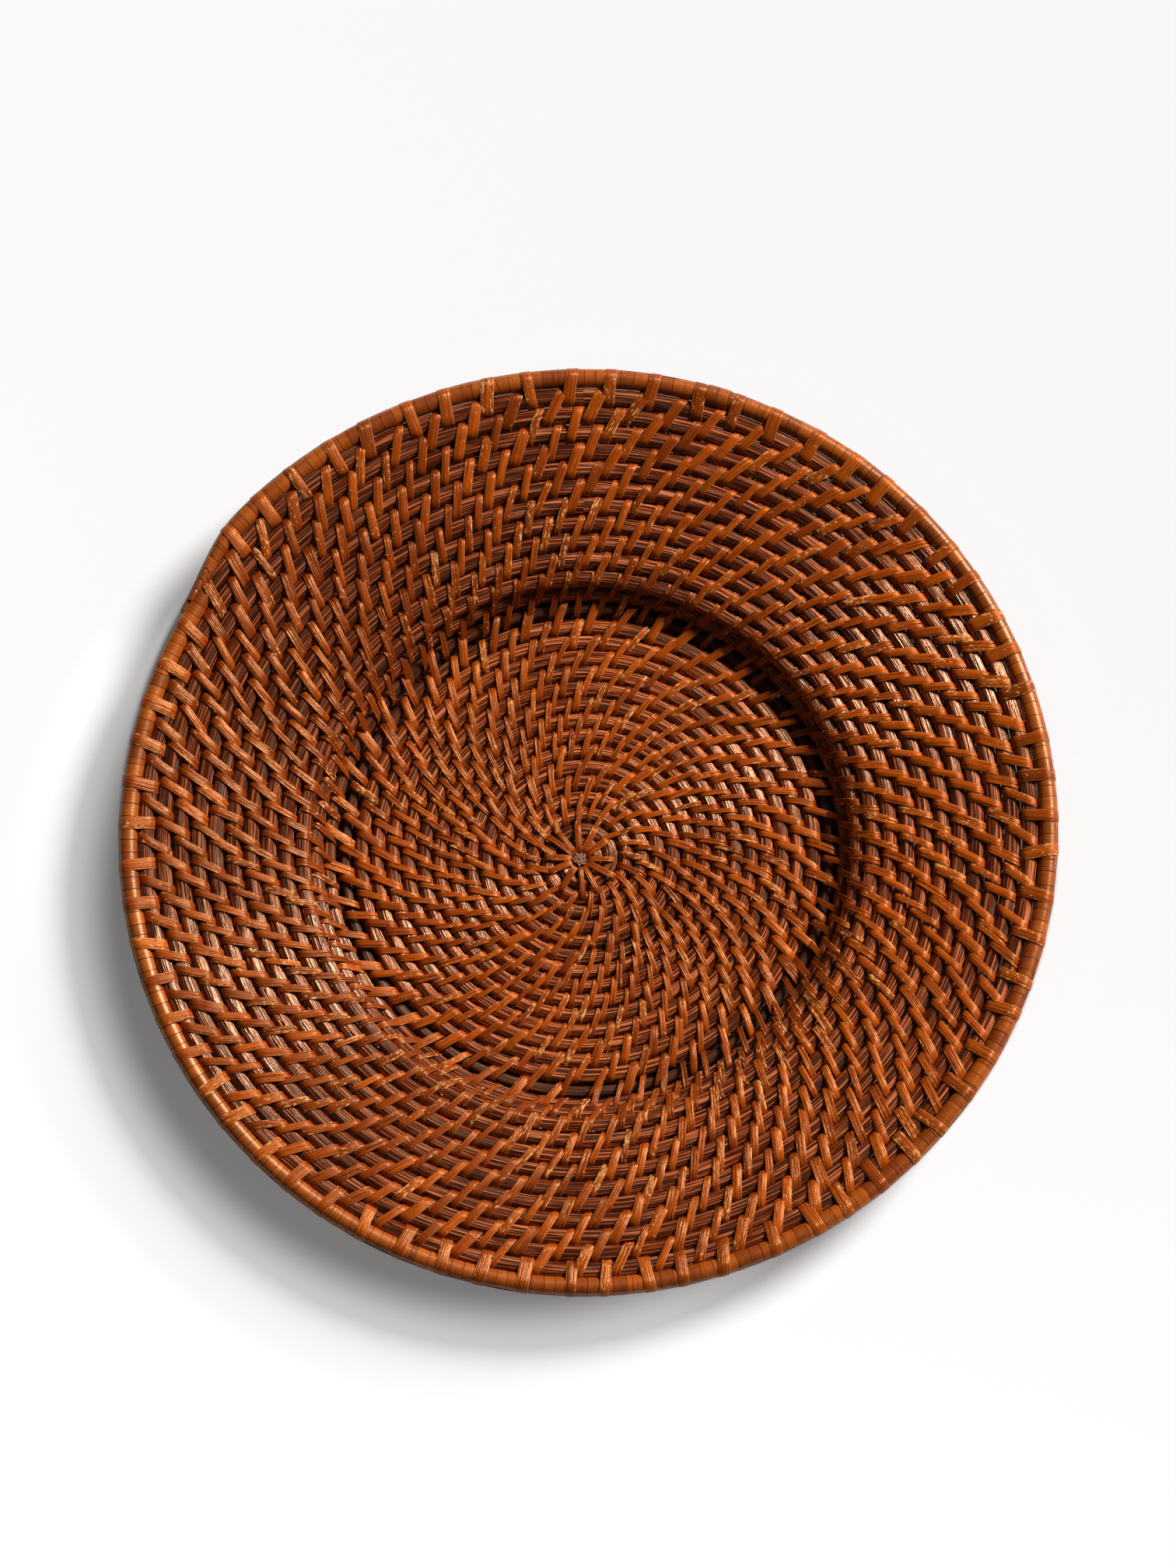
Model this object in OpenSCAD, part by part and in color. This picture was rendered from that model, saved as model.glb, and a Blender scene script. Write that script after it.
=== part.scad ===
// Coiled cane charger plate, wound as one spiral from the centre of the well to the rim.
// The axis of the plate is Z, the plate rests on z = 0 and the photograph's top is +Y.

/* [Cane rod] */
// Thickness of the rod wound into the flat floor of the well
floor_rod_d = 4.9; // [4.5:0.1:5.3]
// Thickness of the stouter rod wound into the wall, the flange and the rim
flange_rod_d = 5.5; // [5.1:0.1:5.9]
// Room that the binding leaves between two turns of the floor
floor_gap = 0.6; // [0.6:0.05:0.9]
// Room that the binding leaves between two turns of the wall
wall_gap = 0.85; // [0.8:0.05:1.1]
// Room that the binding leaves between two turns of the flange
flange_gap = 0.75; // [0.7:0.05:1.1]
// Extra room round the wrapped rim, where the lashings pass
rim_room = 0.5; // [0.5:0.05:0.8]
// Extra room beside the splice where the stouter rod takes over
splice_room = 0.35; // [0.35:0.05:0.6]
// How much thicker the knuckles of the cane are than the rod
knuckle_rise = 0.1; // [0.05:0.01:0.12]

/* [Winding] */
// Half turns of rod in the floor
floor_half_turns = 30; // [26:2:32]
// Half turns of rod in the flange and rim, to the last knuckle
flange_half_turns = 21; // [17:2:25]
// Upward slope of the flange in degrees
flange_slope = 10.5; // [6:0.5:14]
// How far the handmade winding drifts to one side, as a share of its radius
drift_share = 0.03; // [0:0.005:0.03]
// Depth of the flat on which the floor rests
foot_cut = 0.5; // [0.3:0.1:0.6]
// Part of a half turn that the rod runs on after its last knuckle
end_share = 0.333; // [0.25:0.01:0.45]
// Length of the shaved end of the rod
taper_length = 30; // [20:1:40]

/* [Binding] */
// Thickness of the split cane strip
strip_t = 0.4; // [0.3:0.02:0.44]
// Running clearance between a strip and the rod under it
strip_clear = 0.05; // [0.03:0.01:0.08]
// Bend radius of a stitch over its two turns
strip_bend = 12; // [11:0.5:14]
// Width of a lashing over the rim
lashing_w = 3.6; // [3:0.1:3.8]
// Width of one turn of the strip that wraps the rim
wrap_w = 4.2; // [3.4:0.1:5]
// Seam left between two turns of the rim wrap
wrap_seam = 0.2; // [0.1:0.05:0.3]
// Radius of the tuft of strip ends that plugs the centre
plug_r = 1.8; // [1.4:0.1:2]

/* [Hidden] */
// Slope of each half turn that climbs out of the well, in degrees
wall_slopes = [8, 20, 45, 55, 55, 25];
// Stitches in one turn, and the turn from which that number holds
stitch_zones = [[1, 11.5], [3, 22.5], [7, 45.5], [16, 68.5]];
// Sideways run of a stitch over one turn, and its width, as shares of the space between stitches
slant_share = 0.24;
width_share = 0.2;
// Where the spokes round the centre begin, in half turns
first_stitch = 2.75;
// Half turns in one turn
one_turn = 2;
// Steps of the least gap measure in one half turn, and how far it looks to each side
gap_steps = 12;
gap_look = 3;
rod_names = ["floor_rod_inner", "floor_rod_outer", "wall_rod", "flange_rod_inner", "flange_rod_middle",
    "flange_rod_outer", "rim_rod"];
wall_half_turns = len(wall_slopes);
flange_start = floor_half_turns + wall_half_turns;
last_knuckle = flange_start + flange_half_turns;
rod_end = last_knuckle + end_share;
rim_start = rod_end - one_turn;
// The knuckles at which one length of rod ends and the next begins
rod_ends = [0, 16, floor_half_turns, flange_start, last_knuckle - 14, last_knuckle - 8, last_knuckle - 2,
    last_knuckle];
floor_pitch = floor_rod_d + floor_gap;
wall_pitch = flange_rod_d + wall_gap;
flange_pitch = flange_rod_d + flange_gap;
floor_z = floor_rod_d / 2 - foot_cut;
wrap_in_r = flange_rod_d / 2 + knuckle_rise / 2 + strip_clear;
wrap_out_r = wrap_in_r + strip_t;
row_count = floor(last_knuckle / one_turn);
row_names = [for (row = [1 : row_count - 1]) str("stitch_row_", row < 10 ? "0" : "", row)];
$fn = 48;

// Length and slope of the step from one knuckle to the next
function step_of(k) =
    k < floor_half_turns ? floor_pitch / 2 + (k == floor_half_turns - 1 ? splice_room : 0)
    : k < flange_start ? wall_pitch / 2
    : flange_pitch / 2 + (k == last_knuckle - one_turn ? rim_room : 0);
function slope_of(k) =
    k < floor_half_turns ? 0 : k < flange_start ? wall_slopes[k - floor_half_turns] : flange_slope;

// Radius and height of each knuckle, one to a half turn, before the winding drifts
profile = [for (k = 0, r = floor_pitch / 2, z = floor_z; k <= last_knuckle + 1;
    r = r + step_of(k) * cos(slope_of(k)), z = z + step_of(k) * sin(slope_of(k)), k = k + 1) [r, z]];
// The same with its sign: even knuckles lie on the near side of the axis, odd ones on the far side
knuckles = [for (k = [0 : last_knuckle + 1])
    let (side = k % 2 == 0 ? -1 : 1) [side * profile[k][0] * (1 + side * drift_share), profile[k][1]]];

// A point on the rod's centre line, counted in half turns from its inner end
function rod_point(u) =
    let (
        k = floor(u),
        turn = 180 * (u - k),
        from = knuckles[k],
        to = knuckles[k + 1],
        middle = (from + to) / 2,
        arm = (from - to) / 2
    ) [middle[0] + arm[0] * cos(turn), sign(from[0]) * norm(arm) * sin(turn), middle[1] + arm[1] * cos(turn)];
function rod_d_of(u) = u < floor_half_turns ? floor_rod_d : flange_rod_d;
// The stouter of the two turns that a stitch at u holds
function held_d(u) = max(rod_d_of(u), rod_d_of(u - one_turn));

// Centre of the whole plate, measured from the axis of the winding
function outer_reach(u) = norm([rod_point(u)[0], rod_point(u)[1]]) + wrap_out_r;
plate_centre = [
    (outer_reach(last_knuckle) - outer_reach(last_knuckle - 1)) / 2,
    (outer_reach(last_knuckle - 1.5) - outer_reach(last_knuckle - 0.5)) / 2
];

// The least gap between the rod and its own next turn, over the room that the binding needs
gap_points = [for (i = [0 : gap_steps * last_knuckle]) rod_point(i / gap_steps)];
function swell_of(i) = i % gap_steps == 0 && slope_of(i / gap_steps) > 0 ? knuckle_rise : 0;
function reach_of(i) = i > gap_steps * rim_start ? wrap_out_r : (rod_d_of(i / gap_steps) + swell_of(i)) / 2;
function least_gap(from, to) =
    min([for (i = [gap_steps * from : gap_steps * min(to, last_knuckle - one_turn)],
        j = [gap_steps * one_turn - gap_look : gap_steps * one_turn + gap_look])
        if (i + j < len(gap_points)) norm(gap_points[i + j] - gap_points[i]) - reach_of(i) - reach_of(i + j)]);
for (i = [0 : len(rod_names) - 2])
    echo(rod_names[i], least_gap_to_next_turn_mm = least_gap(rod_ends[i], rod_ends[i + 1]));
echo("whole winding", least_gap_mm = least_gap(0, last_knuckle));

// Turns the winding so that its knuckles lie along Y, and centres the plate on the axes
module placed() {
    translate([plate_centre[1], -plate_centre[0], 0])
        rotate([0, 0, 90])
            children();
}

// Radius of the half circle from one knuckle to the next
function arm_of(k) = norm(knuckles[k + 1] - knuckles[k]) / 2;
// Where the wrap of the rim stops, short of the shaved end of the rod
wrap_end = rod_end - taper_length / (PI * arm_of(last_knuckle));

// Part of half turn k, swept by a ring or disc of the given radii
module half_turn(k, from, to, r, hollow_r = 0) {
    left = knuckles[k][0] < knuckles[k + 1][0] ? knuckles[k] : knuckles[k + 1];
    right = knuckles[k][0] < knuckles[k + 1][0] ? knuckles[k + 1] : knuckles[k];
    lean = atan2(right[1] - left[1], right[0] - left[0]);
    turned = knuckles[k][0] < 0 ? 180 : 0;
    translate([(left[0] + right[0]) / 2, 0, (left[1] + right[1]) / 2])
        rotate([0, -lean, 0])
            rotate([0, 0, turned + 180 * from])
                rotate_extrude(angle = 180 * (to - from))
                    translate([arm_of(k), 0])
                        if (hollow_r > 0)
                            difference() {
                                circle(r = r);
                                circle(r = hollow_r);
                            }
                        else
                            circle(r = r);
}

// One length of rod between two knuckles of the cane, which stand out where the winding climbs
module rod(from, to) {
    d = rod_d_of(from);
    union() {
        for (k = [from : to - 1])
            half_turn(k, 0, 1, d / 2);
        for (k = [from + 1 : 1 : to - 1])
            if (slope_of(k) > 0)
                translate([knuckles[k][0], 0, knuckles[k][1]])
                    sphere(d = d + knuckle_rise);
    }
}

// Everything under the surface that the plate rests on
module below_foot() {
    reach = profile[flange_start][0];
    translate([-reach, -reach, -flange_rod_d])
        cube([2 * reach, 2 * reach, flange_rod_d]);
}

module resting_rod(from, to) {
    color("sienna")
        placed()
            difference() {
                rod(from, to);
                below_foot();
            }
}

module raised_rod(from, to) {
    color("sienna")
        placed()
            rod(from, to);
}

// The last length runs on past its last knuckle and is shaved to a slant that lies on the turn inside it
module rim_rod_piece() {
    tip = rod_point(rod_end);
    heading = atan2(tip[1], tip[0]);
    color("sienna")
        placed()
            difference() {
                union() {
                    rod(rod_ends[6], last_knuckle);
                    translate([knuckles[last_knuckle][0], 0, knuckles[last_knuckle][1]])
                        sphere(d = flange_rod_d + knuckle_rise);
                    half_turn(last_knuckle, 0, end_share, flange_rod_d / 2);
                }
                translate(tip)
                    rotate([0, 0, heading])
                        translate([-flange_rod_d / 2, 0, 0])
                            rotate([0, 0, atan(flange_rod_d / taper_length)])
                                translate([0, -taper_length, -flange_rod_d])
                                    cube([2 * flange_rod_d, 2 * taper_length, 2 * flange_rod_d]);
            }
}

// A domed tuft of strip ends in the hollow at the centre of the winding
module centre_tuft() {
    hollow_y = arm_of(1) - floor_rod_d / 2 - strip_clear - plug_r;
    dome_r = 2 * plug_r;
    dome_z = floor_z + floor_rod_d / 2 - sqrt(dome_r * dome_r - plug_r * plug_r);
    color("peru")
        placed()
            translate([(knuckles[1][0] + knuckles[2][0]) / 2 + plug_r / 2, hollow_y, 0])
                intersection() {
                    cylinder(r = plug_r, h = 2 * floor_rod_d);
                    translate([0, 0, dome_z])
                        sphere(r = dome_r);
                }
}

// Stitches in the turn that row counts
function zone_of(row) = max([for (i = [0 : len(stitch_zones) - 1]) stitch_zones[i][0] <= row ? i : 0]);
function stitches_in(row) = stitch_zones[zone_of(row)][1];

// Places of the stitches whose outer turn is this row, in half turns along the rod
function row_places(row, stop) =
    let (
        zone = zone_of(row),
        first = one_turn * stitch_zones[zone][0],
        step = one_turn / stitches_in(row),
        low = ceil((max(one_turn * row, first_stitch) - first) / step - 0.5),
        high = ceil((min(one_turn * (row + 1), stop) - first) / step - 0.5) - 1
    ) [for (i = [low : high]) first + (i + 0.5) * step];

// Turns x along the line from the inner turn to the outer one at u, with z away from the plate
module at_stitch(u) {
    outer = rod_point(u);
    inner = rod_point(u - one_turn);
    span = outer - inner;
    translate((outer + inner) / 2)
        rotate([0, -atan2(span[2], norm([span[0], span[1]])), atan2(span[1], span[0])])
            children();
}

// One strip bent over two turns of rod, each half_apart from its middle
module stitch(half_apart, rod_r, width) {
    sunk = sqrt(pow(strip_bend - strip_clear - rod_r, 2) - half_apart * half_apart);
    sweep = asin((half_apart + rod_r - strip_clear) / strip_bend);
    translate([0, 0, -sunk])
        rotate([90, 0, 0])
            rotate_extrude(angle = 2 * sweep, start = 90 - sweep)
                translate([strip_bend, -width / 2])
                    square([strip_t, width]);
}

module stitch_row(row) {
    color("chocolate")
        placed()
            for (u = row_places(row, rim_start)) {
                apart = norm(rod_point(u) - rod_point(u - one_turn));
                spacing = 360 * norm([rod_point(u)[0], rod_point(u)[1]]) / stitches_in(row) / (180 / PI);
                slant = atan(slant_share * spacing / apart);
                at_stitch(u)
                    rotate([0, 0, -slant])
                        stitch(apart / 2 / cos(slant), held_d(u) / 2 * (1 + 1 / cos(slant)) / 2,
                            width_share * spacing);
            }
}

// Wide strips bent over the wrapped rim and the turn inside it, tipped to lie on both
module rim_lashing() {
    inner_r = flange_rod_d / 2 + strip_clear;
    outer_r = wrap_out_r + strip_clear;
    color("chocolate")
        placed()
            for (row = [row_count - 1, row_count])
                for (u = row_places(row, wrap_end))
                    if (u > rim_start) {
                        apart = norm(rod_point(u) - rod_point(u - one_turn));
                        at_stitch(u)
                            rotate([0, -asin((outer_r - inner_r) / apart), 0])
                                stitch(apart / 2, (outer_r + inner_r) / 2, lashing_w);
                    }
}

// The strip that wraps the rim, turn beside turn, up to where the rod is shaved
module rim_wrap() {
    color("peru")
        placed()
            for (k = [floor(rim_start) : last_knuckle]) {
                from = max(rim_start, k) - k;
                to = min(wrap_end, k + 1) - k;
                count = floor((to - from) * PI * arm_of(k) / wrap_w);
                step = (to - from) / count;
                seam = wrap_seam / (PI * arm_of(k));
                for (i = [0 : count - 1])
                    half_turn(k, from + i * step, from + (i + 1) * step - seam, wrap_out_r, wrap_in_r);
            }
}

module floor_rod_inner() {
    resting_rod(rod_ends[0], rod_ends[1]);
}
module floor_rod_outer() {
    resting_rod(rod_ends[1], rod_ends[2]);
}
module wall_rod() {
    resting_rod(rod_ends[2], rod_ends[3]);
}
module flange_rod_inner() {
    raised_rod(rod_ends[3], rod_ends[4]);
}
module flange_rod_middle() {
    raised_rod(rod_ends[4], rod_ends[5]);
}
module flange_rod_outer() {
    raised_rod(rod_ends[5], rod_ends[6]);
}

centre_tuft();
floor_rod_inner();
floor_rod_outer();
wall_rod();
flange_rod_inner();
flange_rod_middle();
flange_rod_outer();
rim_rod_piece();  // rim_rod
for (row = [1 : row_count - 1])
    stitch_row(row);
rim_wrap();
rim_lashing();
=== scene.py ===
import math

import bpy
import numpy as np
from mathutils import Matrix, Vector


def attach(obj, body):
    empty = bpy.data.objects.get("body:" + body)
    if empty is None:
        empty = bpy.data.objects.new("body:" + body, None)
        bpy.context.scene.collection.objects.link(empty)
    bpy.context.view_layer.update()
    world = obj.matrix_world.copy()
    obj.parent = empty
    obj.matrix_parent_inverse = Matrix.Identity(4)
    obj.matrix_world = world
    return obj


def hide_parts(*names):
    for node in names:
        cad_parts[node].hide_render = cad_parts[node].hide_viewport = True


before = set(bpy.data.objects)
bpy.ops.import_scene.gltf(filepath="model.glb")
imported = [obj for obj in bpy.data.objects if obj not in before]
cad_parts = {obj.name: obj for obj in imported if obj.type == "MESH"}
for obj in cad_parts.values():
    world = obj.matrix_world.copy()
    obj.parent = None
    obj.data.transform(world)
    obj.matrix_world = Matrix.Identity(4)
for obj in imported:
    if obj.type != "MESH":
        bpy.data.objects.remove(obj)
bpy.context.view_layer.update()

# The core is round peeled cane, wound as one spiral: a flat floor, a low steep wall, a broad flange.
# It is stained red-brown, and its fibres stand out as fine ridges and dark cracks along its length.
# Sizes are in millimetres, as a cane worker counts them. Each turn is two half circles.
MM = 0.001
FLOOR_CANE = 4.9
FLANGE_CANE = 5.5
FLOOR_GAP = 0.6
WALL_GAP = 0.85
FLANGE_GAP = 0.75
SPLICE_ROOM = 0.35
RIM_ROOM = 0.5
FLOOR_HALF_TURNS = 30
FLANGE_HALF_TURNS = 21
WALL_SLOPES = (8, 20, 45, 55, 55, 25)
FLANGE_SLOPE = 10.5
DRIFT_SHARE = 0.03
END_SHARE = 0.333
FOOT_CUT = 0.5
FLANGE_START = FLOOR_HALF_TURNS + len(WALL_SLOPES)
LAST_KNUCKLE = FLANGE_START + FLANGE_HALF_TURNS
ROD_END = LAST_KNUCKLE + END_SHARE
RIM_START = ROD_END - 2

# The knuckles are the points where one half circle meets the next, as a reach to one side and a height.
knuckles = []
radius, height = (FLOOR_CANE + FLOOR_GAP) / 2, FLOOR_CANE / 2 - FOOT_CUT
for k in range(LAST_KNUCKLE + 2):
    side = -1 if k % 2 == 0 else 1
    knuckles.append((side * radius * (1 + side * DRIFT_SHARE), height))
    if k < FLOOR_HALF_TURNS:
        step, slope = (FLOOR_CANE + FLOOR_GAP) / 2, 0
        step += SPLICE_ROOM if k == FLOOR_HALF_TURNS - 1 else 0
    elif k < FLANGE_START:
        step, slope = (FLANGE_CANE + WALL_GAP) / 2, WALL_SLOPES[k - FLOOR_HALF_TURNS]
    else:
        step, slope = (FLANGE_CANE + FLANGE_GAP) / 2, FLANGE_SLOPE
        step += RIM_ROOM if k == LAST_KNUCKLE - 2 else 0
    radius += step * math.cos(math.radians(slope))
    height += step * math.sin(math.radians(slope))
knuckles = np.array(knuckles)


def cane_line(u, axis=(0.0, 0.0)):
    """Centre line of the core, counted in half turns from its inner end, in millimetres."""
    u = np.clip(np.asarray(u, float), 0, LAST_KNUCKLE + 0.999)
    k = np.floor(u).astype(int)
    start, end = knuckles[k], knuckles[k + 1]
    middle, arm, turn = (start + end) / 2, (start - end) / 2, np.pi * (u - k)
    along = middle[..., 0] + arm[..., 0] * np.cos(turn)
    aside = np.sign(start[..., 0]) * np.hypot(arm[..., 0], arm[..., 1]) * np.sin(turn)
    up = middle[..., 1] + arm[..., 1] * np.cos(turn)
    return np.stack([axis[0] - aside, axis[1] + along, up], -1)


def rim_reach(u):
    return math.hypot(*cane_line(u)[:2])


# The frame's axis is the middle of the rim's outline, a little off the place where the cane starts.
AXIS = ((rim_reach(LAST_KNUCKLE - 1.5) - rim_reach(LAST_KNUCKLE - 0.5)) / 2,
        (rim_reach(LAST_KNUCKLE - 1) - rim_reach(LAST_KNUCKLE)) / 2)


def unit(vectors):
    return vectors / np.linalg.norm(vectors, axis=-1, keepdims=True)


def smooth(value, low, high):
    """0 below low, 1 above high, and an easy passage between."""
    value = np.clip((value - low) / (high - low), 0, 1)
    return value * value * (3 - 2 * value)


def tube_mesh(name, rings, finish, fields):
    """A mesh of closed tubes: rings[tube, ring, corner] in millimetres, with fields kept on its points."""
    tubes, count, corners = rings.shape[:3]
    grid = np.arange(tubes * count * corners).reshape(tubes, count, corners)
    beside = np.roll(grid, -1, axis=2)
    quads = np.stack([grid[:, :-1], grid[:, 1:], beside[:, 1:], beside[:, :-1]], -1).reshape(-1, 4)
    faces = quads.tolist() + grid[:, 0].tolist() + grid[:, -1, ::-1].tolist()
    mesh = bpy.data.meshes.new(name)
    mesh.from_pydata((rings.reshape(-1, 3) * MM).tolist(), [], faces)
    for field, values in fields.items():
        values = np.broadcast_to(values, rings.shape[:3] + (3,)).astype(np.float32)
        mesh.attributes.new(field, "FLOAT_VECTOR", "POINT").data.foreach_set("vector", values.ravel())
    mesh.shade_smooth()
    mesh.set_sharp_from_angle(angle=math.radians(50))
    mesh.materials.append(finish)
    piece = bpy.data.objects.new(name, mesh)
    bpy.context.scene.collection.objects.link(piece)
    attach(piece, "root")
    return piece


class Wire:
    """An output of a shader node. Sums and products of wires add Math nodes."""

    def __init__(self, finish, socket):
        self.finish, self.socket = finish, socket

    def maths(self, operation, first, second):
        return self.finish.node("ShaderNodeMath", {"operation": operation}, {0: first, 1: second})

    def __add__(self, other):
        return self.maths("ADD", self, other)

    def __sub__(self, other):
        return self.maths("SUBTRACT", self, other)

    def __rsub__(self, other):
        return self.maths("SUBTRACT", other, self)

    def __mul__(self, other):
        return self.maths("MULTIPLY", self, other)

    __radd__, __rmul__ = __add__, __mul__

    def between(self, low, high):
        """0 at low, 1 at high, and an easy passage between."""
        return self.finish.node("ShaderNodeMapRange", {"interpolation_type": "SMOOTHSTEP"},
                                {"Value": self, "From Min": low, "From Max": high})


class Finish:
    """A material, built from nodes."""

    def __init__(self, name):
        self.material = bpy.data.materials.new(name)
        self.material.use_nodes = True
        self.tree = self.material.node_tree
        self.tree.nodes.clear()

    def node(self, kind, settings=None, inputs=None, output=0):
        made = self.tree.nodes.new(kind)
        for name, value in (settings or {}).items():
            setattr(made, name, value)
        for name, value in (inputs or {}).items():
            if isinstance(value, Wire):
                self.tree.links.new(value.socket, made.inputs[name])
            else:
                made.inputs[name].default_value = value
        return Wire(self, made.outputs[output])

    def field(self, name):
        """The three numbers that a mesh keeps on its points, as a vector and one by one."""
        vector = self.node("ShaderNodeAttribute", {"attribute_name": name}, output=1)
        return [vector] + [self.node("ShaderNodeSeparateXYZ", {}, {0: vector}, i) for i in range(3)]

    def noise(self, vector, scale, detail=3.0, roughness=0.55):
        """Noise along a vector that is stretched by a scale for each of its three numbers."""
        stretched = self.node("ShaderNodeMapping", {}, {"Vector": vector, "Scale": scale})
        return self.node("ShaderNodeTexNoise", {}, {"Vector": stretched, "Scale": 1.0,
                                                    "Detail": detail, "Roughness": roughness})

    def colour(self, mask, first, second):
        """The first colour where the mask is 0, the second where it is 1."""
        return self.node("ShaderNodeMix", {"data_type": "RGBA"}, {0: mask, 6: first, 7: second}, 2)

    def bump(self, strength, distance, height):
        return self.node("ShaderNodeBump", {}, {"Strength": strength, "Distance": distance, "Height": height})

    def shader(self, **inputs):
        named = {name.replace("_", " "): value for name, value in inputs.items()}
        return self.node("ShaderNodeBsdfPrincipled", {}, named)

    def close(self, shader):
        """Sends the shader to the surface and hands over the material."""
        out = self.tree.nodes.new("ShaderNodeOutputMaterial")
        self.tree.links.new(shader.socket, out.inputs[0])
        return self.material


def cane_finish(name, stain, crack, bloom):
    """Stained peeled cane: ridges of fibre, dark cracks, pale bloom on the highest threads."""
    finish = Finish(name)
    place, _, _, _ = finish.field("cane")
    _, shade, side_shade, _ = finish.field("shade")
    fibres = finish.noise(place, (0.022, 3.0, 3.0), detail=3.0, roughness=0.6)
    threads = finish.noise(place, (0.035, 5.5, 5.5), detail=2.0, roughness=0.6)
    patches = finish.noise(place, (0.045, 0.6, 0.6), detail=3.0)
    ridge = fibres.between(0.40, 0.51)
    colour = finish.colour(ridge, crack, stain)
    colour = finish.colour(threads.between(0.50, 0.60) * ridge * 0.70, colour, bloom)
    colour = finish.colour(threads.between(0.49, 0.41) * 0.75, colour, crack)
    colour = finish.colour(patches.between(0.45, 0.80) * 0.35, colour, crack)
    # Painted shade: the turn at the wall's foot is darkened towards the crack colour.
    colour = finish.colour(shade * 0.85, colour, crack)
    # Painted shade: the flange's far side from the given angle is darkened.
    colour = finish.colour(side_shade * 0.40, colour, crack)
    relief = finish.bump(1.0, 0.0009, fibres * 0.7 + threads * 0.35)
    return finish.close(finish.shader(Base_Color=colour, Roughness=0.50 - ridge * 0.34 + shade * 0.3,
                                      Normal=relief, Specular_IOR_Level=1.0,
                                      Specular_Tint=(1.0, 0.53, 0.30, 1)))


# The turns crowd up to a thin seam, and the wall and flange cane is drawn a little worn down.
# The turn at the wall's foot lies deeper and looser over the half turns SHADY_TURN, and is painted dark there
# as painted shade in the groove.
# Painted shade also darkens the flange on the side of the plate away from a given angle round it.
SEAM = 0.16
CROWDED_SHARE = 1.2
WORN = 0.25
SHADY_TURN = (28.9, 29.5, 30.9, 31.7)
SHADY_THIN_SHARE = 0.2
SHADY_LOOSE_SHARE = 0.1
SHADY_SUNK = 0.5
UNSHADED_SIDE = 0.0
CANE_CORNERS = 20
CANE_STEP = 2.3
LEAST_RINGS = 13
FIBRE_STEP = 9.0
FIBRE_RISE = 0.1
FIBRE_LIMITS = (-0.24, 0.12)
FIBRE_ROWS = 1800
OTHER_FIBRES = 1000
LOWEST_CANE = 0.47
LOOK_AHEAD = 0.002
TINY = 1e-6
rng = np.random.default_rng(71)
fibre_rise = rng.normal(0, FIBRE_RISE, (FIBRE_ROWS, CANE_CORNERS)).clip(*FIBRE_LIMITS)
floor_cane = cane_finish("floor_cane", (0.230, 0.030, 0.003, 1), (0.013, 0.0012, 0.0003, 1),
                         (0.900, 0.270, 0.090, 1))
flange_cane = cane_finish("flange_cane", (0.205, 0.026, 0.003, 1), (0.012, 0.0012, 0.0003, 1),
                          (0.900, 0.270, 0.100, 1))


def lay_cane(node, start, stop, across, finish, thin=None):
    """One length of the core, between two places on the spiral."""
    u = [start]
    while u[-1] < stop - TINY:
        half_turn = math.pi * abs(knuckles[int(u[-1])][0])
        step = 1 / max(LEAST_RINGS, round(half_turn / CANE_STEP))
        u.append(min(u[-1] + step, math.floor(u[-1] + 1 + TINY), stop))
    u = np.array(u)
    line = cane_line(u, AXIS)
    ahead = unit(cane_line(u + LOOK_AHEAD) - cane_line(u - LOOK_AHEAD))
    inside = line - cane_line(np.maximum(u - 2, 0), AXIS)
    outside = cane_line(u + 2, AXIS) - line
    inside = np.where((u < 2)[:, None], outside, inside)
    outside = np.where((u > RIM_START)[:, None], inside, outside)
    up = unit(np.cross(unit(inside) + unit(outside), ahead))
    out = np.cross(ahead, up)
    turn = np.linspace(0, 2 * np.pi, CANE_CORNERS, endpoint=False)

    length = np.cumsum(np.r_[0, np.linalg.norm(np.diff(line, axis=0), axis=1)]) + OTHER_FIBRES * start
    place = (length / FIBRE_STEP) % (len(fibre_rise) - 1)
    low = place.astype(int)
    share = (place - low)[:, None]
    rise = fibre_rise[low] * (1 - share) + fibre_rise[low + 1] * share

    shade = smooth(u, *SHADY_TURN[:2]) * (1 - smooth(u, *SHADY_TURN[2:]))
    size = across / 2 * (1 - SHADY_THIN_SHARE * shade)
    broad_in, broad_out = [
        np.clip((np.linalg.norm(way, axis=1) / 2 - SEAM) / (across / 2), 1, CROWDED_SHARE)
        * (1 - SHADY_LOOSE_SHARE * shade) for way in (inside, outside)]
    if thin is not None:
        size, line = thin(u, size, line, out)
    line = line - up * (SHADY_SUNK * shade)[:, None]
    reach = (size[:, None] + rise * size[:, None] / (across / 2))[..., None]
    broad = np.where(np.cos(turn) > 0, broad_out[:, None], broad_in[:, None])
    rings = line[:, None] + reach * ((broad * np.cos(turn))[..., None] * out[:, None]
                                     + np.sin(turn)[:, None] * up[:, None])
    rings[..., 2] = np.maximum(rings[..., 2], LOWEST_CANE)

    cane = np.stack(np.broadcast_arrays(length[:, None], np.cos(turn), np.sin(turn)), -1)
    angle = np.arctan2(line[:, 1], line[:, 0])
    # Painted shade, growing towards the flange's far side from the given angle, kept as the shade field's
    # second number.
    side_shade = (0.5 - 0.5 * np.cos(angle - UNSHADED_SIDE)) * smooth(u, *SHADY_TURN[2:])
    shades = np.stack(np.broadcast_arrays(shade[:, None], side_shade[:, None], np.zeros(CANE_CORNERS)), -1)
    piece = tube_mesh(node + "_cane", rings[None], finish, {"cane": cane[None], "shade": shades[None]})
    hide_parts(node)


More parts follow.
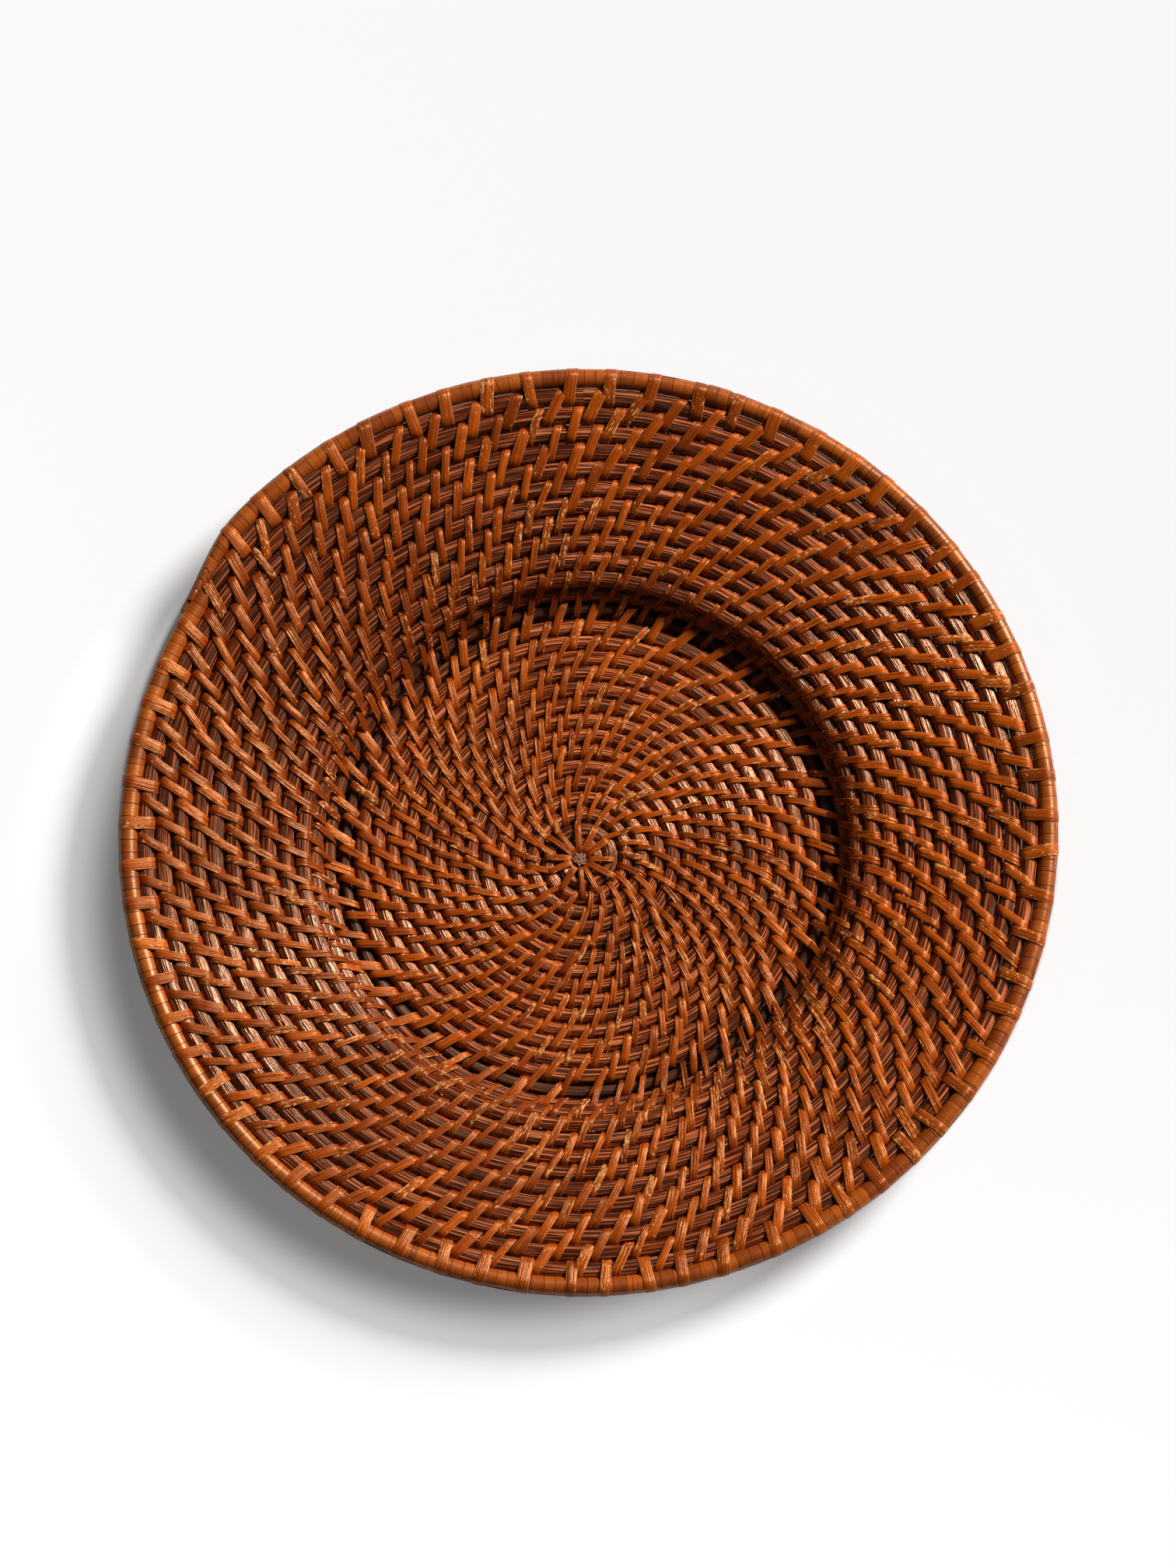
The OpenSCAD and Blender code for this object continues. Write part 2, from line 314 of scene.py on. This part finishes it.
lay_cane("floor_rod_inner", 0, 16, FLOOR_CANE, floor_cane)
lay_cane("floor_rod_outer", 16, 30, FLOOR_CANE, floor_cane)
lay_cane("wall_rod", 30, 36, FLANGE_CANE - WORN, flange_cane)
lay_cane("flange_rod_inner", 36, 43, FLANGE_CANE - WORN, flange_cane)
lay_cane("flange_rod_middle", 43, 49, FLANGE_CANE - WORN, flange_cane)
lay_cane("flange_rod_outer", 49, 55, FLANGE_CANE - WORN, flange_cane)

# The rim is the last turn of the same flange cane, which runs on without a break.
# Its end is shaved to a long slant and leans on the turn inside it, so that the rim ends without a step.
RIM_CANE = 5.3
SHAVED = 40.0
SHAVED_SHARE = 0.7
RIM_TUCK = 1.8


def shave(u, size, line, out):
    """Thins the end of the cane and lets it lean on the turn inside it."""
    left = np.clip((ROD_END - u) * math.pi * abs(knuckles[LAST_KNUCKLE][0]) / SHAVED, 0, 1)
    thinned = size * (1 - SHAVED_SHARE + SHAVED_SHARE * smooth(left, 0, 1))
    return thinned, line - out * ((size - thinned) * RIM_TUCK)[:, None]


lay_cane("rim_rod", 55, ROD_END, RIM_CANE, flange_cane, shave)

# Strips of split cane, glossy outer skin upwards, bind each turn to the turn inside it.
# One strip goes over both turns, down between them and slantwise back underneath to the next place.
# They are orange brown with fine grain. The cut edges are paler, and worn places show raw cane.
# A zone gives the turn from which it holds, and the stitches on each turn there.
STITCH_ZONES = ((1, 11.5), (3, 22.5), (7, 45.5), (16, 68.5))
FIRST_STITCH = 4.55
LEAN_SHARE = 0.24
WIDTH_SHARE = 0.27
STRIP_LEAST = 2.0
STRIP_THICK = 0.42
STRIP_CLEAR = 0.06
STRIP_OFF = STRIP_CLEAR + STRIP_THICK / 2
STRIP_CROWDED_SHARE = 1.15
LOWEST_STRIP = 0.01
LOWEST_STITCH = STRIP_THICK / 2 + 0.03
UNDER_SHARE = 0.8
# The strip's section, across as a share of half its width and outwards as a share of its thickness.
STRIP_OUTLINE = np.array([(-1, 0.1), (-0.93, 0.36), (0, 0.46), (0.93, 0.36), (1, 0.1),
                          (0.9, -0.5), (-0.9, -0.5)])
# The strip's way: 1 at the outer turn and -1 at the inner one, and degrees round the pair from outside.
OVER = [(1, 0), (1, 28), (1, 52), (1, 74), (1, 90), (0.5, 90), (0, 90), (-0.5, 90), (-1, 90),
        (-1, 106), (-1, 128), (-1, 152), (-1, 180)]
UNDER = [(-1, 216), (-1, 248), (-1, 270), (-0.4, 270), (0.4, 270), (1, 270), (1, 292), (1, 324), (1, 360)]


def strip_finish(name, skin, deep, raw):
    """Glossy split cane, whose tone and wear differ from strip to strip; on the wall and the outer rows the
    tone also carries painted shade and light.
    """
    finish = Finish(name)
    place, _, _, _ = finish.field("strip")
    _, edge, wear, tone = finish.field("look")
    grain = finish.noise(place, (0.045, 1.6, 40.0), detail=3.0, roughness=0.6)
    clouds = finish.noise(place, (0.35, 0.35, 40.0), detail=2.0)
    rubs = finish.noise(place, (0.5, 1.1, 70.0), detail=3.0)
    cut = edge.between(0.88, 1.0)
    bare = (rubs + wear * 0.16 + edge * 0.08).between(0.70, 0.80)
    lines = grain.between(0.47, 0.37)
    colour = finish.colour((tone + grain * 0.7 - 0.35).between(0.1, 0.95), deep, skin)
    colour = finish.colour(clouds.between(0.45, 0.75) * 0.45, colour, deep)
    colour = finish.colour(cut * 0.4, colour, raw)
    colour = finish.colour(bare * 0.8, colour, raw)
    colour = finish.colour(lines * 0.8, colour, deep)
    relief = finish.bump(1.0, 0.0004, grain - bare * 0.3)
    return finish.close(finish.shader(Base_Color=colour, Roughness=0.25 + bare * 0.3 + grain * 0.14,
                                      Normal=relief, Specular_IOR_Level=0.7,
                                      Specular_Tint=(1.0, 0.49, 0.20, 1)))


def lay_strips(name, finish, centre, outward, width, thick, looks):
    """Strips along rows of points, each with a crowned section that faces outward."""
    ahead = unit(np.gradient(centre, axis=1))
    across = unit(np.cross(outward, ahead))
    outward = np.cross(ahead, across)
    v, h = STRIP_OUTLINE.T
    half = (width / 2)[..., None, None] * v[:, None]
    rise = thick[:, None, None, None] * h[:, None]
    rings = centre[:, :, None] + half * across[:, :, None] + rise * outward[:, :, None]
    rings[..., 2] = np.maximum(rings[..., 2], LOWEST_STRIP)
    run = np.cumsum(np.linalg.norm(np.diff(centre, axis=1, prepend=centre[:, :1]), axis=2), axis=1)
    number, wear, tone = (column[:, None, None] for column in looks)
    strip = np.stack(np.broadcast_arrays(run[..., None], half[..., 0], number), -1)
    edge = np.broadcast_to(np.abs(v), strip.shape[:3])
    look = np.stack(np.broadcast_arrays(edge, wear, tone), -1)
    return tube_mesh(name, rings, finish, {"strip": strip, "look": look})


def places(row, low, high):
    """Places of the stitches on one turn, counted in half turns along the core."""
    first, count = max(zone for zone in STITCH_ZONES if zone[0] <= row)
    step = 2 / count
    lowest = math.ceil((max(2 * row, low) - 2 * first) / step - 0.5)
    highest = math.ceil((min(2 * row + 2, high) - 2 * first) / step - 0.5) - 1
    return 2 * first + (np.arange(lowest, highest + 1) + 0.5) * step, count


def turn_radius(u):
    return np.hypot(*np.moveaxis(cane_line(u)[..., :2], -1, 0))


def strip_loops(u, shift, spacing, lean, outer_r, inner_r, bulge, next_step, tuck=0.0, free=False):
    """Paths of strips over the turn at u and the turn inside it, and what faces outward there."""
    outer_r, tuck = np.reshape(outer_r, (-1, 1)), np.reshape(tuck, (-1, 1))
    side, turn = np.array(OVER + UNDER, float).T
    turn = np.radians(turn)
    u = u[:, None]
    lean = lean[:, None]
    half = np.linalg.norm(cane_line(u) - cane_line(u - 2), axis=-1) / 2
    hug = (outer_r + inner_r) / 2 + side * (outer_r - inner_r) / 2
    most_broad = np.where(free & (side > 0), 1, STRIP_CROWDED_SHARE)
    broad = np.clip((half - SEAM) / (hug - STRIP_OFF), 1, most_broad)
    x = side * half - tuck * (1 + side) / 2 + hug * np.cos(turn) * broad
    z = hug * np.sin(turn) + np.where(turn < np.pi, bulge[:, None] * (1 - side ** 2), 0)
    reach = half + (outer_r + inner_r) / 2
    slant = lean * reach / half
    way_over = -lean * x / half
    way_back = slant + (x + reach) / (2 * reach) * (next_step * spacing - 2 * slant)
    lateral = np.where(turn <= np.pi + TINY, way_over, way_back)
    moved = u + (lateral + shift[:, None]) / (math.pi * (turn_radius(u) + turn_radius(u - 2)) / 2)
    outer, inner = cane_line(moved, AXIS), cane_line(moved - 2, AXIS)
    out = unit(outer - inner)
    round_way = unit(np.cross((0, 0, 1), out))
    up = np.cross(out, round_way)
    centre = (outer + inner) / 2 + x[..., None] * out + z[..., None] * up
    outward = np.cos(turn)[:, None] * out + np.sin(turn)[:, None] * up
    return centre, outward


# On the rows at the crest of the wall more strips are split, and rubbed; the wall's own are painted darker,
# as painted shade in the well.
CREST_ROWS = (17, 18, 19)
WALL_ROWS = (16, 17, 18)
STRIP_TONE = 0.55
WALL_SHADE_TONE = 0.3
SIDE_LIGHT_CHANGE = 0.24
SPLIT_ODDS = 0.22
CREST_SPLIT_ODDS = 0.75
CREST_WEAR = 0.55
SPLIT_SHARE = 0.92
SPLIT_STEP_SHARE = 1.04
stitch_strip = strip_finish("stitch_strip", (0.440, 0.072, 0.003, 1), (0.190, 0.024, 0.001, 1),
                            (0.800, 0.380, 0.120, 1))
for row in range(2, LAST_KNUCKLE // 2):
    rng = np.random.default_rng(500 + row)
    u, count = places(row, FIRST_STITCH, RIM_START)
    rod, inner_rod = [FLOOR_CANE if k < FLOOR_HALF_TURNS else FLANGE_CANE - WORN
                      for k in (2 * row, 2 * row - 2)]
    spacing = 2 * math.pi * abs(knuckles[2 * row][0]) / count
    crest = row in CREST_ROWS
    strands = []
    for place in u + rng.normal(0, 0.035, len(u)) * 2 / count:
        split = rng.random() < (CREST_SPLIT_ODDS if crest else SPLIT_ODDS)
        parts = int(rng.choice((2, 3))) if split else 1
        full = max(WIDTH_SHARE * spacing, STRIP_LEAST) * rng.uniform(0.85, 1.22)
        # Painted shade: the strips on the wall's rows get a darker tone.
        tone = rng.normal(WALL_SHADE_TONE if row in WALL_ROWS else STRIP_TONE, 0.17)
        wear = rng.random() ** 3
        lean = rng.normal(1, 0.16)
        for part in range(parts):
            shift = (part + 0.5 - parts / 2) * full / parts * SPLIT_STEP_SHARE
            strands.append((place, shift, lean * rng.normal(1, 0.02),
                            full * SPLIT_SHARE / parts * rng.uniform(0.85, 1.05), tone + rng.normal(0, 0.06),
                            min(1, wear + (CREST_WEAR * rng.random() if crest else 0)),
                            rng.uniform(0.0, 0.3), rng.random(), rng.uniform(0.85, 1.05)))
    place, shift, lean, width, tone, wear, bulge, number, thick = np.array(strands).T
    # Painted light and shade: from the wall's last row outwards the strips are painted lighter towards the
    # given angle and darker on the far side.
    if row >= WALL_ROWS[-1]:
        spot = cane_line(place, AXIS)
        tone = tone + SIDE_LIGHT_CHANGE * np.cos(np.arctan2(spot[:, 1], spot[:, 0]) - UNSHADED_SIDE)
    centre, outward = strip_loops(place, shift, spacing, lean * LEAN_SHARE / 2 * spacing,
                                  rod / 2 + STRIP_OFF, inner_rod / 2 + STRIP_OFF, bulge, 1)
    outward = np.where(centre[..., 2:] < LOWEST_STITCH, np.array((0, 0, -1.0)), outward)
    centre[..., 2] = np.maximum(centre[..., 2], LOWEST_STITCH)
    taper = np.r_[np.full(len(OVER), 1.0), np.full(len(UNDER), UNDER_SHARE)]
    piece = lay_strips(f"stitches_{row:02d}", stitch_strip, centre, outward,
                       width[:, None] * taper, thick * STRIP_THICK, (number, wear, tone))
    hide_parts(f"stitch_row_{row:02d}")

# Spokes of the same strip start the binding. They are pushed into the centre between the cut ends,
# run out flat over the first turns and dive between two of them.
SPOKES = 12
SPOKE_START = 2.7
SPOKE_HEIGHT = 5.15
SPOKE_THICK = 0.4
SPOKE_SHARES = np.array([0, 0.06, 0.14, 0.3, 0.5, 0.7, 0.86, 0.95, 1.0])
SPOKE_RISES = np.array([-0.9, -0.35, 0.0, 0.1, 0.15, 0.1, 0.0, -0.45, -1.3])
HUB = cane_line(1.5, AXIS)[:2] * 0.5 + cane_line(0.5, AXIS)[:2] * 0.5
rng = np.random.default_rng(12)
angle = np.linspace(0, 2 * math.pi, SPOKES, endpoint=False) + rng.normal(0, 0.09, SPOKES)
reach = rng.uniform(11.8, 14.6, SPOKES)
radial = SPOKE_START + (reach[:, None] - SPOKE_START) * SPOKE_SHARES
heading = np.stack([np.cos(angle), np.sin(angle)], -1)
heights = np.broadcast_to(SPOKE_HEIGHT + SPOKE_RISES, radial.shape)
centre = np.concatenate([HUB + radial[..., None] * heading[:, None], heights[..., None]], -1)
outward = np.broadcast_to((0, 0, 1.0), centre.shape).copy()
width = np.broadcast_to(rng.uniform(1.75, 2.4, (SPOKES, 1)), radial.shape)
number = rng.random(SPOKES)
wear = rng.random(SPOKES) * 0.4
tone = rng.normal(0.5, 0.1, SPOKES)
piece = lay_strips("centre_spokes", stitch_strip, centre, outward, width,
                   np.full(SPOKES, SPOKE_THICK), (number, wear, tone))
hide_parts("stitch_row_01")

# The hollow at the centre is plugged with the cut ends of the first strips, as a small rough rosette.
# The ends stand side by side in a swirl, each with a rough top that shows the open pores of the cane.
TUFTS = 19
TUFT_SPREAD = 2.3
TUFT_SWIRL = 2.4
TUFT_CORNERS = 7
TUFT_FOOT = 3.2
TUFT_TOP = 5.75
TUFT_FALL = 0.08
rng = np.random.default_rng(3)
spread = np.sqrt((np.arange(TUFTS) + 0.5) / TUFTS) * TUFT_SPREAD
swirl = np.arange(TUFTS) * TUFT_SWIRL
foot = np.stack([HUB[0] + spread * np.cos(swirl), HUB[1] + spread * np.sin(swirl)], -1)
turn = np.linspace(0, 2 * math.pi, TUFT_CORNERS, endpoint=False)
rings = np.zeros((TUFTS, 5, TUFT_CORNERS, 3))
for i in range(TUFTS):
    top = TUFT_TOP - TUFT_FALL * spread[i] ** 2 + rng.uniform(-0.25, 0.12)
    levels = (TUFT_FOOT, top - 0.35, top - 0.1, top, top - 0.04)
    for j, (level, size) in enumerate(zip(levels, (0.55, 0.58, 0.52, 0.36, 0.1))):
        rough = size * (1 + rng.normal(0, 0.1, TUFT_CORNERS))
        rings[i, j] = np.stack([foot[i, 0] + rough * np.cos(turn), foot[i, 1] + rough * np.sin(turn),
                                np.full(TUFT_CORNERS, level)], -1)
rings = rings[:, ::-1]
finish = Finish("cut_ends")
place, _, _, _ = finish.field("cane")
pores = finish.noise(place, (9.0, 9.0, 9.0), detail=3.0)
colour = finish.colour(pores.between(0.35, 0.65), (0.10, 0.026, 0.012, 1), (0.46, 0.18, 0.09, 1))
cut_ends = finish.close(finish.shader(Base_Color=colour, Roughness=0.7 - pores * 0.1,
                                      Normal=finish.bump(0.8, 0.0002, pores)))
piece = tube_mesh("centre_rosette", rings, cut_ends, {"cane": rings - np.r_[HUB, 0]})
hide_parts("centre_tuft")

# A strip wraps the rim, turn beside turn, so that only its smooth skin and fine seams show.
# Its turns differ in width, and at one place it is tied off, where two turns stand proud.
# A profile gives a place across one turn as a share, the rise there, and how near the seam is.
WRAP_R = 3.1
RIM_CROWDED_SHARE = 1.15
RIM_R = 160
WRAP_CORNERS = 24
WRAP_SKEW = 0.35
WRAP_APART = 70
WRAP_PROFILE = ((0.0, -0.25, 1.0), (0.03, 0.0, 0.9), (0.25, 0.01, 0.5), (0.5, 0.015, 0.0),
                (0.75, 0.01, 0.5), (0.97, 0.0, 0.9), (1.0, -0.25, 1.0))
NARROW_ODDS = 0.12
KNOT_AT = 73.5
KNOT_SPREAD = 1.5
KNOT_RISE = 0.5
rng = np.random.default_rng(41)
wraps = []
u_now = RIM_START - 0.02
while u_now < ROD_END - 0.01:
    width = rng.uniform(3.7, 4.9) if rng.random() > NARROW_ODDS else rng.uniform(1.6, 2.4)
    per_mm = 1 / (math.pi * abs(knuckles[min(int(u_now), LAST_KNUCKLE)][0]))
    number = rng.random()
    lift = rng.normal(0, 0.025)
    spot = cane_line(u_now, AXIS)
    if abs(math.degrees(math.atan2(spot[1], spot[0])) - KNOT_AT) < KNOT_SPREAD:
        lift += KNOT_RISE
    for share, rise, seam in WRAP_PROFILE:
        wraps.append((u_now + share * width * per_mm, WRAP_R + rise + lift, number,
                      (share - 0.5) * width, seam))
    u_now += width * per_mm
u, size, number, across, seam = np.array(wraps).T
turn = np.linspace(0, 2 * np.pi, WRAP_CORNERS, endpoint=False)
skewed = u[:, None] + WRAP_SKEW / (math.pi * RIM_R) * np.sin(turn)
line = cane_line(skewed, AXIS)
ahead = unit(cane_line(skewed + LOOK_AHEAD) - cane_line(skewed - LOOK_AHEAD))
out = unit(np.cross(ahead, (0, 0, 1)))
up = np.cross(out, ahead)
size, tuck = shave(u, size, np.zeros((len(u), 3)), np.tile((1.0, 0, 0), (len(u), 1)))
line = line + out * tuck[:, :1, None]
broad = np.where(np.cos(turn) < 0, RIM_CROWDED_SHARE, 1)
rings = line + size[:, None, None] * ((broad * np.cos(turn))[:, None] * out + np.sin(turn)[:, None] * up)
finish = Finish("rim_strip")
place, _, _, _ = finish.field("wrap")
_, own, near_seam, _ = finish.field("wrap_look")
grain = finish.noise(place, (3.0, 0.5, 0.5), detail=4.0, roughness=0.6)
clouds = finish.noise(place, (0.25, 1.2, 1.2), detail=2.0)
rubs = finish.noise(place, (0.9, 2.6, 2.6), detail=3.0)
colour = finish.colour((own * 0.5 + grain * 0.8 - 0.2).between(0.1, 0.9), (0.20, 0.032, 0.003, 1),
                       (0.440, 0.088, 0.006, 1))
colour = finish.colour(clouds.between(0.5, 0.75) * 0.4, colour, (0.12, 0.03, 0.008, 1))
colour = finish.colour(rubs.between(0.68, 0.78) * 0.5, colour, (0.70, 0.40, 0.16, 1))
colour = finish.colour(near_seam.between(0.9, 1.0) * 0.8, colour, (0.05, 0.012, 0.004, 1))
rim_strip = finish.close(finish.shader(Base_Color=colour, Roughness=0.28 + grain * 0.14,
                                       Normal=finish.bump(0.4, 0.0002, grain), Specular_IOR_Level=0.8,
                                       Specular_Tint=(1.0, 0.70, 0.38, 1)))
wrap = np.stack(np.broadcast_arrays((across + WRAP_APART * number)[:, None], np.cos(turn), np.sin(turn)), -1)
look = np.stack(np.broadcast_arrays(number[:, None], seam[:, None], np.zeros(WRAP_CORNERS)), -1)
piece = tube_mesh("rim_wrapping", rings[None], rim_strip,
                  {"wrap": wrap[None], "wrap_look": look[None]})
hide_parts("rim_wrap")

# Lashings of broader split cane go over the wrapped rim and the turn inside it, and bind the two.
# They stand closer to upright than the stitches, and the last ones follow the rim's shaved end.
LASH_THICK = 0.34
LASH_END = 0.045
LASH_UNDER_SHARE = 0.85
lashing_strip = strip_finish("lashing_strip", (0.460, 0.085, 0.005, 1), (0.210, 0.030, 0.002, 1),
                             (0.780, 0.370, 0.120, 1))
rng = np.random.default_rng(29)
u = np.concatenate([places(row, RIM_START, ROD_END - LASH_END)[0]
                    for row in (LAST_KNUCKLE // 2 - 1, LAST_KNUCKLE // 2)])
count = len(u)
u = u + rng.normal(0, 0.002, count)
spacing = 2 * math.pi * RIM_R / STITCH_ZONES[-1][1]
wrapped, tuck = shave(u, np.full(count, WRAP_R), np.zeros((count, 3)), np.tile((1.0, 0, 0), (count, 1)))
lean = rng.normal(0.25, 0.3, count)
bulge = rng.uniform(0, 0.15, count)
centre, outward = strip_loops(u, np.zeros(count), spacing, lean, wrapped + LASH_THICK / 2,
                              (FLANGE_CANE - WORN + LASH_THICK) / 2 + STRIP_CLEAR, bulge, 0,
                              -tuck[:, 0], True)
taper = np.r_[np.full(len(OVER), 1.0), np.full(len(UNDER), LASH_UNDER_SHARE)]
width = rng.uniform(3.6, 4.7, (count, 1)) * taper
number = rng.random(count)
wear = rng.random(count) ** 2 * 0.9
tone = rng.normal(0.5, 0.16, count)
piece = lay_strips("rim_lashings", lashing_strip, centre, outward, width,
                   np.full(count, LASH_THICK), (number, wear, tone))
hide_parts("rim_lashing")

# A pale seamless floor under the plate, in metres. What the camera sees of it is near white.
# A faint glow, seen by the camera alone, softens the far edge of the shadow.
# Under the plate the floor is painted dark brown, as painted shade, so that slits between the turns stay
# dark.
LIGHT_FROM = math.radians(39)
LIGHT_HEIGHT = math.radians(36)
SHADOW_SHIFT = 0.035
SEEN_SHIFT = 0.0045
finish = Finish("pale_floor")
spot = finish.node("ShaderNodeNewGeometry")
away = (-math.cos(LIGHT_FROM), -math.sin(LIGHT_FROM), 0)
nearer = finish.node("ShaderNodeVectorMath", {"operation": "DOT_PRODUCT"}, {0: spot, 1: (0, -1, 0)}, 1)
beyond = finish.node("ShaderNodeVectorMath", {"operation": "DOT_PRODUCT"}, {0: spot, 1: away}, 1)
from_plate, from_shadow = [
    finish.node("ShaderNodeVectorMath", {"operation": "DISTANCE"}, {0: spot, 1: middle}, 1)
    for middle in ((0, SEEN_SHIFT, 0), tuple(SHADOW_SHIFT * way for way in away))]
clear = from_plate.between(0.1640, 0.1672)
# Painted shade: the floor under the plate is dark brown, darkest towards the middle.
ground = finish.colour(from_plate.between(0.108, 0.150), (0.05, 0.035, 0.025, 1), (0.20, 0.13, 0.09, 1))
ground = finish.colour(clear, ground, (0.74, 0.74, 0.74, 1))
half_shadow = from_shadow.between(0.138, 0.158) * (1 - from_shadow.between(0.158, 0.180))
glow = half_shadow * beyond.between(0.0, 0.10) * 0.38
glow = glow + beyond.between(-0.2, 0.4) * 0.05 + nearer.between(-0.1, 0.3) * 0.05 + 0.10
glow = finish.colour(glow * clear, (0, 0, 0, 1), (1, 1, 1, 1))
lit = finish.shader(Base_Color=ground, Roughness=1.0, Specular_IOR_Level=0.0)
seen = finish.shader(Base_Color=ground, Roughness=1.0, Specular_IOR_Level=0.0,
                     Emission_Color=glow, Emission_Strength=1.0)
camera_ray = finish.node("ShaderNodeLightPath")
finish.close(finish.node("ShaderNodeMixShader", {}, {0: camera_ray, 1: lit, 2: seen}))
bpy.ops.mesh.primitive_plane_add(size=8)
floor = bpy.context.object
floor.name = "pale_floor"
floor.data.materials.append(finish.material)

# Low light from the far right, as wide as a window, and little light from elsewhere.
# Together they light the cane at a plain level, at which its colours render as they are written.
world = bpy.data.worlds.new("studio")
world.use_nodes = True
sky = world.node_tree.nodes["Background"]
sky.inputs["Color"].default_value = (1, 1, 1, 1)
sky.inputs["Strength"].default_value = 0.05
bpy.context.scene.world = world
lamp = bpy.data.lights.new("window", "SUN")
lamp.energy = 5.8
lamp.angle = math.radians(20)
window = bpy.data.objects.new("window", lamp)
window.rotation_euler = Vector((math.cos(LIGHT_HEIGHT) * math.cos(LIGHT_FROM),
                                math.cos(LIGHT_HEIGHT) * math.sin(LIGHT_FROM),
                                math.sin(LIGHT_HEIGHT))).to_track_quat("Z", "Y").to_euler()
bpy.context.scene.collection.objects.link(window)

# The camera looks down with a long lens from the near side, tipped a little from straight above.
# One pixel of the photograph, which is as many pixels wide as said here, covers PIXEL at the aim.
TILT = math.radians(12.64)
DISTANCE = 6.0
PIXEL = 0.0002743
PHOTO_PIXELS = 1512
SENSOR = 36
camera_data = bpy.data.cameras.new("camera")
camera_data.sensor_fit = "HORIZONTAL"
camera_data.sensor_width = SENSOR
camera_data.lens = SENSOR * DISTANCE / (PHOTO_PIXELS * PIXEL)
camera_data.clip_end = 20
camera = bpy.data.objects.new("camera", camera_data)
aim = Vector((-0.0002, 0.0175, 0.020))
camera.location = aim + Vector((0, -math.sin(TILT), math.cos(TILT))) * DISTANCE
camera.rotation_euler = (TILT, 0, 0)
bpy.context.scene.collection.objects.link(camera)
bpy.context.scene.camera = camera
bpy.context.scene.view_settings.view_transform = "Standard"
